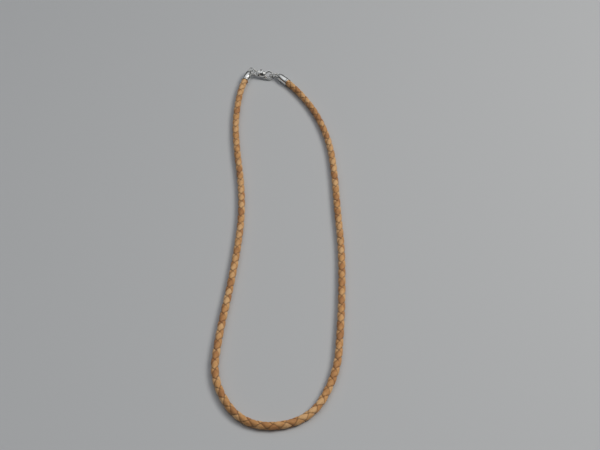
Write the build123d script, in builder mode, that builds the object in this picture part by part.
"""Necklace: a round braid of four leather laces, laid in a long loop, with a lobster clasp.

Millimetres. +Z is up, the necklace lies on Z = 0 and its clasp end points along +Y.
"""

import os
from collections import namedtuple

from build123d import *

os.makedirs("parts", exist_ok=True)

# Braided cord
cord_diameter = 3.0
braid_pitch = 9.1

# End caps: a barrel with a closed, rounded end and a loop soldered on it
cap_clearance = 0.08
cap_wall = 0.17
cap_length = 6.6
cap_bore_depth = 5.2
cap_mouth_round = 0.06
cap_shoulder = 0.9
cap_loop_wire = 0.8
cap_loop_hole = 1.5
cap_loop_seat = 0.2

# Jump rings: "spare" is what a ring's radius has over half the distance of its two holes,
# and each ring leans back from upright and sits a little above the middle of the holes
ring_wire = 0.6
left_ring_spare = 0.15
left_ring_lean = 15.0
left_ring_lift = 0.3
right_ring_spare = 0.0
right_ring_lean = 35.0
right_ring_lift = 0.26

# Lobster clasp: place and lean of its middle plane, whose origin is the middle of the claw
clasp_x = -7.8
clasp_y = 100.8
clasp_height = 2.1
clasp_heading = -9.0
clasp_lean = 40.0

# Lobster clasp: cast body with an eye, a shank between two cheeks and a hooked claw
eye_distance = 6.2
eye_radius = 1.35
eye_hole_radius = 0.85
eye_thickness = 0.7
shank_distance = 3.2
shank_radius = 1.55
shank_thickness = 2.2
shank_back_distance = 4.0
shank_back_radius = 1.1
claw_radius = 2.3
claw_hole_radius = 1.25
claw_thickness = 1.4
claw_tip_angle = 5.0
claw_root_angle = 195.0
eye_round = 0.2
claw_round = 0.4
shank_round = 0.4

# Where the rings run through the eye and the claw, from the middle of each hole, and how far
# to the front the right ring sits in its cap's loop
eye_seat_y = 0.25
claw_seat_x = 0.3
claw_seat_y = -0.45
loop_seat_y = -0.2

# Lever of the clasp, with its pin
pin_distance = 3.1
pin_offset = 0.45
pin_diameter = 0.6
pin_clearance = 0.03
slot_floor = -0.45
slot_back = 4.7
lever_thickness = 0.8
lever_side_gap = 0.1
lever_reach = 4.2
lever_tip_gap = 0.15
lever_inset = 0.1
lever_band = 0.8
lever_root_angle = 150.0
lever_hub_radius = 0.7
tab_width = 0.9
tab_length = 1.75
tab_lean = 40.0

# Where the cord lies on the table, seen from above: (x, y) of the points that shape its line,
# from the left cap's mouth round the front of the loop to the right cap's mouth
route_points = [
    (-19.5, 96.5),
    (-21.3, 91.0),
    (-23.0, 67.7),
    (-21.5, 46.7),
    (-18.7, 25.7),
    (-17.4, 3.7),
    (-18.7, -18.3),
    (-21.0, -40.8),
    (-23.8, -61.8),
    (-25.3, -84.8),
    (-12.5, -105.3),
    (10.7, -102.8),
    (21.2, -81.3),
    (23.1, -59.3),
    (24.3, -37.3),
    (24.6, -14.8),
    (23.4, 7.2),
    (22.8, 29.2),
    (21.0, 51.2),
    (15.0, 72.7),
    (5.9, 89.8),
    (1.6, 95.0),
]

# Corners of one lace's section, as shares of the cord's radius: "out" runs away from the
# middle of the cord, and "ahead" runs to the side that the lace winds towards
Corner = namedtuple("Corner", "out ahead")
lace_on_top = [
    Corner(0.62, -0.78),
    Corner(0.95, -0.30),
    Corner(1.00, 0.00),
    Corner(0.95, 0.30),
    Corner(0.62, 0.78),
]
lace_going_under = [
    Corner(0.10, -0.99),
    Corner(0.76, -0.65),
    Corner(1.00, 0.00),
    Corner(0.30, 0.08),
    Corner(0.15, -0.10),
]
lace_beneath = [
    Corner(0.03, -0.99),
    Corner(0.55, -0.82),
    Corner(0.55, 0.00),
    Corner(0.55, 0.82),
    Corner(0.03, 0.99),
]
lace_coming_up = [Corner(corner.out, -corner.ahead) for corner in reversed(lace_going_under)]
lace_shapes = [lace_on_top, lace_going_under, lace_beneath, lace_coming_up]

# Two laces wind one way and two the other. "start" is a lace's first angle round the cord,
# and "shape" is its first place in the list of shapes
Lace = namedtuple("Lace", "name winds start shape")
laces = [
    Lace("strand_1", 1, 0, 0),
    Lace("strand_2", 1, 180, 0),
    Lace("strand_3", -1, 0, 2),
    Lace("strand_4", -1, 180, 2),
]
steps_per_turn = 2 * len(lace_shapes)

cord_radius = cord_diameter / 2
cap_bore_radius = cord_radius + cap_clearance
cap_radius = cap_bore_radius + cap_wall
cap_loop_radius = (cap_loop_hole + cap_loop_wire) / 2


def cord_point(index):
    """A point of the cord's line, raised to the middle of the cap beside the two ends."""
    x, y = route_points[index]
    beside_cap = min(index, len(route_points) - 1 - index) < 2
    return Vector(x, y, cap_radius if beside_cap else cord_radius)


# The cord's line: straight inside each cap, and between them a smooth curve that bends
# round each point, from the middle of one run to the middle of the next
points = [cord_point(index) for index in range(len(route_points))]
left_mouth = points[0]
right_mouth = points[-1]
left_outward = (points[0] - points[1]).normalized()
right_outward = (points[-1] - points[-2]).normalized()
bends = [left_mouth]
bends += [(before + after) / 2 for before, after in zip(points[1:-2], points[2:-1])]
bends += [right_mouth]
with BuildLine() as route:
    Line(left_mouth + left_outward * cap_bore_depth, left_mouth)
    for bend_start, corner, bend_end in zip(bends, points[1:-1], bends[1:]):
        Bezier(bend_start, corner, bend_end)
    Line(right_mouth, right_mouth + right_outward * cap_bore_depth)
cord_line = route.wire()
cord_length = cord_line.length
step_count = round(cord_length / braid_pitch * steps_per_turn)
print("cord length", round(cord_length, 1), "turns", step_count / steps_per_turn)


def station(step):
    """The plane across the cord at one step, with its local Y up."""
    share = step / step_count
    along = cord_line.tangent_at(share)
    return Plane(cord_line.position_at(share), x_dir=Vector(0, 0, 1).cross(along), z_dir=along)


stations = [station(step) for step in range(step_count + 1)]


def lace_corners(lace, step):
    """The corners of one lace's section at one step of the braid."""
    angle = lace.start + lace.winds * step * 360 / steps_per_turn
    outward = Vector(1, 0, 0).rotate(Axis.Z, angle)
    ahead = Vector(0, lace.winds, 0).rotate(Axis.Z, angle)
    shape = lace_shapes[(lace.shape + step) % len(lace_shapes)]
    return [
        stations[step].from_local_coords((outward * corner.out + ahead * corner.ahead) * cord_radius)
        for corner in shape
    ]


def lace_faces(lace):
    """The closed skin of one lace: a belt of triangles between steps, and its two cut ends."""
    rows = [lace_corners(lace, step) for step in range(step_count + 1)]
    faces = [Face(Wire.make_polygon(rows[0])), Face(Wire.make_polygon(rows[-1]))]
    for step, (row, next_row) in enumerate(zip(rows, rows[1:])):
        flat_start = (lace.shape + step) % 2 == 0
        for side in range(len(row)):
            beside = (side + 1) % len(row)
            quad = [row[side], row[beside], next_row[beside], next_row[side]]
            # The sides that fold most are split along their other diagonal, so that they
            # stay clear of the rest of the lace
            if side in ((2, 3) if flat_start else (0, 1)):
                quad = quad[1:] + quad[:1]
            faces.append(Face(Wire.make_polygon(quad[:3])))
            faces.append(Face(Wire.make_polygon([quad[0], quad[2], quad[3]])))
    return faces


for lace in laces:
    with BuildPart() as strand:
        add(Solid(Shell(lace_faces(lace))))
    strand.part.label = lace.name
    export_step(strand.part, f"parts/{lace.name}.step")
    print(lace.name, "volume", round(strand.part.volume, 1))


def end_cap(name, mouth, outward):
    """A barrel over the cord's end, from its mouth outward, with the loop soldered on its end."""
    across = Plane(mouth, x_dir=Vector(0, 0, 1), z_dir=Vector(0, 0, 1).cross(outward))
    loop_middle = mouth + outward * (cap_length + cap_loop_seat + cap_loop_radius)
    with BuildPart() as cap:
        with BuildSketch(across):
            with BuildLine():
                Polyline(
                    (cap_bore_radius, 0),
                    (cap_radius - cap_mouth_round, 0),
                    (cap_radius, cap_mouth_round),
                    (cap_radius, cap_length - cap_shoulder),
                )
                RadiusArc(
                    (cap_radius, cap_length - cap_shoulder),
                    (cap_radius - cap_shoulder, cap_length),
                    -cap_shoulder,
                )
                Polyline(
                    (cap_radius - cap_shoulder, cap_length),
                    (0, cap_length),
                    (0, cap_bore_depth),
                    (cap_bore_radius, cap_bore_depth),
                    (cap_bore_radius, 0),
                )
            make_face()
        revolve(axis=Axis(mouth, outward))
        with BuildSketch(Plane(loop_middle, x_dir=outward, z_dir=across.z_dir)):
            with Locations((cap_loop_radius, 0)):
                Circle(cap_loop_wire / 2)
        revolve(axis=Axis(loop_middle, Vector(0, 0, 1)))
    cap.part.label = name
    export_step(cap.part, f"parts/{name}.step")
    return loop_middle


left_loop = end_cap("end_cap_left", left_mouth, left_outward)
right_loop = end_cap("end_cap_right", right_mouth, right_outward)

# Middle plane of the clasp: local X runs from the eye to the claw, and local Y up its slope
clasp_along = Vector(1, 0, 0).rotate(Axis.Z, clasp_heading)
clasp_plane = Plane(
    Vector(clasp_x, clasp_y, clasp_height), x_dir=clasp_along, z_dir=Vector(0, 0, 1)
).rotated((clasp_lean, 0, 0))
pin_place = (-pin_distance, pin_offset)


def polar(radius, angle):
    """A point round the middle of the claw."""
    return Vector(radius, 0).rotate(Axis.Z, angle)


def clasp_plate(outline, thickness, rim_round):
    """A plate of the clasp with rounded rims, made flat and then set on the middle plane."""
    with BuildPart() as plate:
        extrude(outline.sketch, amount=thickness / 2, both=True)
        fillet(plate.faces().filter_by(Axis.Z).edges(), rim_round)
    return clasp_plane.from_local_coords(plate.part)


# Outlines of the cast body: the eye's plate, the claw's plate and the thick shank
with BuildSketch() as eye_outline:
    with Locations((-eye_distance, 0)):
        Circle(eye_radius)
    with Locations((-shank_distance, 0)):
        Circle(shank_radius)
    make_hull()
    with Locations((-eye_distance, 0)):
        Circle(eye_hole_radius, mode=Mode.SUBTRACT)

with BuildSketch() as claw_outline:
    Circle(claw_radius)
    with Locations((-shank_distance, 0)):
        Circle(shank_radius)
    make_hull()
    Circle(claw_hole_radius, mode=Mode.SUBTRACT)

with BuildSketch() as shank_outline:
    with Locations((-shank_distance, 0)):
        Circle(shank_radius)
    with Locations((-shank_back_distance, 0)):
        Circle(shank_back_radius)
    make_hull()

# Where the claw is open for the lever: a wedge round the middle of the claw, cut off by a
# circle round the pin, so that the lever's end swings clear of the claw's tip
with BuildSketch() as gate_gap:
    with BuildLine():
        wedge_radius = 3 * claw_radius
        wedge_middle = (claw_tip_angle + claw_root_angle) / 2
        Polyline(
            (0, 0),
            polar(wedge_radius, claw_tip_angle),
            polar(wedge_radius, wedge_middle - 35),
            polar(wedge_radius, wedge_middle + 35),
            polar(wedge_radius, claw_root_angle),
            (0, 0),
        )
    make_face()
    with Locations(pin_place):
        Circle(lever_reach + lever_tip_gap, mode=Mode.INTERSECT)

with BuildPart() as clasp_body:
    add(clasp_plate(claw_outline, claw_thickness, claw_round))
    with BuildSketch(clasp_plane):
        add(gate_gap.sketch_local)
    extrude(amount=claw_thickness, both=True, mode=Mode.SUBTRACT)
    add(clasp_plate(eye_outline, eye_thickness, eye_round))
    add(clasp_plate(shank_outline, shank_thickness, shank_round))
    with BuildSketch(clasp_plane):
        with Locations((-slot_back, slot_floor)):
            Rectangle(slot_back, 2 * claw_radius, align=(Align.MIN, Align.MIN))
    extrude(amount=lever_thickness / 2 + lever_side_gap, both=True, mode=Mode.SUBTRACT)
    with BuildSketch(clasp_plane):
        with Locations(pin_place):
            Circle(pin_diameter / 2 + pin_clearance)
    extrude(amount=shank_thickness, both=True, mode=Mode.SUBTRACT)
clasp_body.part.label = "clasp_body"
export_step(clasp_body.part, "parts/clasp_body.step")

lever_outer = claw_radius - lever_inset
lever_inner = lever_outer - lever_band
lever_middle = (lever_outer + lever_inner) / 2
with BuildPart() as clasp_lever:
    with BuildSketch(clasp_plane):
        with BuildLine():
            CenterArc((0, 0), lever_outer, 0, lever_root_angle)
            Line(polar(lever_outer, lever_root_angle), polar(lever_inner, lever_root_angle))
            CenterArc((0, 0), lever_inner, lever_root_angle, -lever_root_angle)
            Line(polar(lever_inner, 0), polar(lever_outer, 0))
        make_face()
        with Locations(pin_place):
            Circle(lever_reach, mode=Mode.INTERSECT)
    extrude(amount=lever_thickness / 2, both=True)
    with BuildSketch(clasp_plane):
        with Locations(polar(lever_middle, lever_root_angle)):
            Circle(lever_band / 2)
        with Locations(pin_place):
            Circle(lever_hub_radius)
        make_hull()
    extrude(amount=lever_thickness / 2, both=True)
    with BuildSketch(clasp_plane):
        with Locations(Location(Vector(*pin_place), tab_lean)):
            SlotCenterToCenter(2 * tab_length, tab_width, rotation=90)
            Rectangle(2 * tab_length, 2 * tab_length, align=(Align.CENTER, Align.MAX), mode=Mode.SUBTRACT)
    extrude(amount=lever_thickness / 2, both=True)
    with BuildSketch(clasp_plane):
        with Locations(pin_place):
            Circle(pin_diameter / 2 + pin_clearance)
    extrude(amount=lever_thickness, both=True, mode=Mode.SUBTRACT)
clasp_lever.part.label = "clasp_lever"
export_step(clasp_lever.part, "parts/clasp_lever.step")

with BuildPart() as clasp_pin:
    with BuildSketch(clasp_plane):
        with Locations(pin_place):
            Circle(pin_diameter / 2)
    extrude(amount=shank_thickness / 2, both=True)
clasp_pin.part.label = "clasp_pin"
export_step(clasp_pin.part, "parts/clasp_pin.step")


def jump_ring(name, first, second, spare, lean, lift):
    """A round ring threaded through two holes."""
    radius = (second - first).length / 2 + spare
    middle = (first + second) / 2 + Vector(0, 0, lift)
    upright = Plane(middle, x_dir=second - first, z_dir=(second - first).cross(Vector(0, 0, 1)))
    leaning = upright.rotated((lean, 0, 0))
    with BuildPart() as ring:
        with BuildSketch(Plane(middle, x_dir=leaning.x_dir, z_dir=leaning.y_dir)):
            with Locations((radius, 0)):
                Circle(ring_wire / 2)
        revolve(axis=Axis(middle, leaning.z_dir))
    ring.part.label = name
    export_step(ring.part, f"parts/{name}.step")


eye_seat = clasp_plane.from_local_coords(Vector(-eye_distance, eye_seat_y))
claw_seat = clasp_plane.from_local_coords(Vector(claw_seat_x, claw_seat_y))
loop_seat = right_loop + Vector(0, loop_seat_y)
jump_ring("jump_ring_left", left_loop, eye_seat, left_ring_spare, left_ring_lean, left_ring_lift)
jump_ring(
    "jump_ring_right", claw_seat, loop_seat, right_ring_spare, right_ring_lean, right_ring_lift
)
